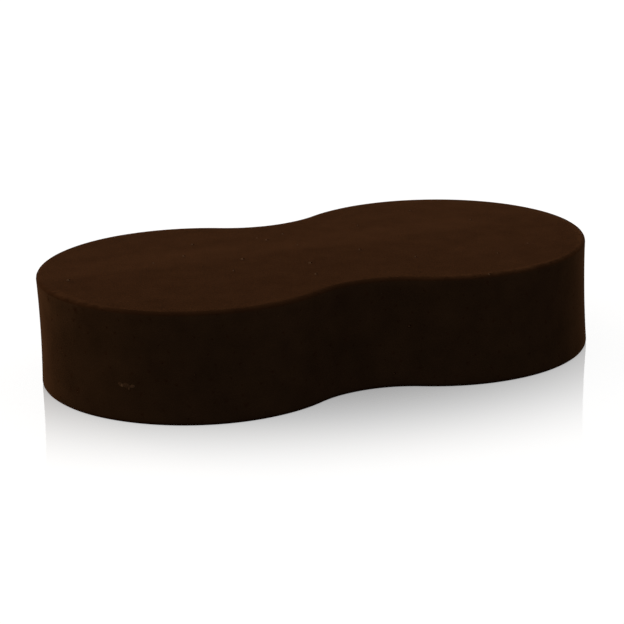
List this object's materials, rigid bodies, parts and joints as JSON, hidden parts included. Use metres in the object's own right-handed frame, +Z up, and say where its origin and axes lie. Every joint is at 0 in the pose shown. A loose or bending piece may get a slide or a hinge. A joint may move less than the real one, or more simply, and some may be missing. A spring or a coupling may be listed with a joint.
{
  "type": "wax applicator pad",
  "caption": "Figure-of-eight pad of fine-celled foam, flat on both faces, for spreading wax or polish by hand.",
  "frame": {"origin": "middle of the underside, where the pad rests on a table", "axes": "+X along the pad through both round lobes, +Y across the waist, +Z up through the thickness"},
  "size_m": [0.155, 0.0838, 0.03],
  "materials": {
    "foam": "matt, open-celled foam, very dark brown, cut on all sides"
  },
  "bodies": {
    "root": {"foam_pad": "foam"}
  },
  "joints": []
}
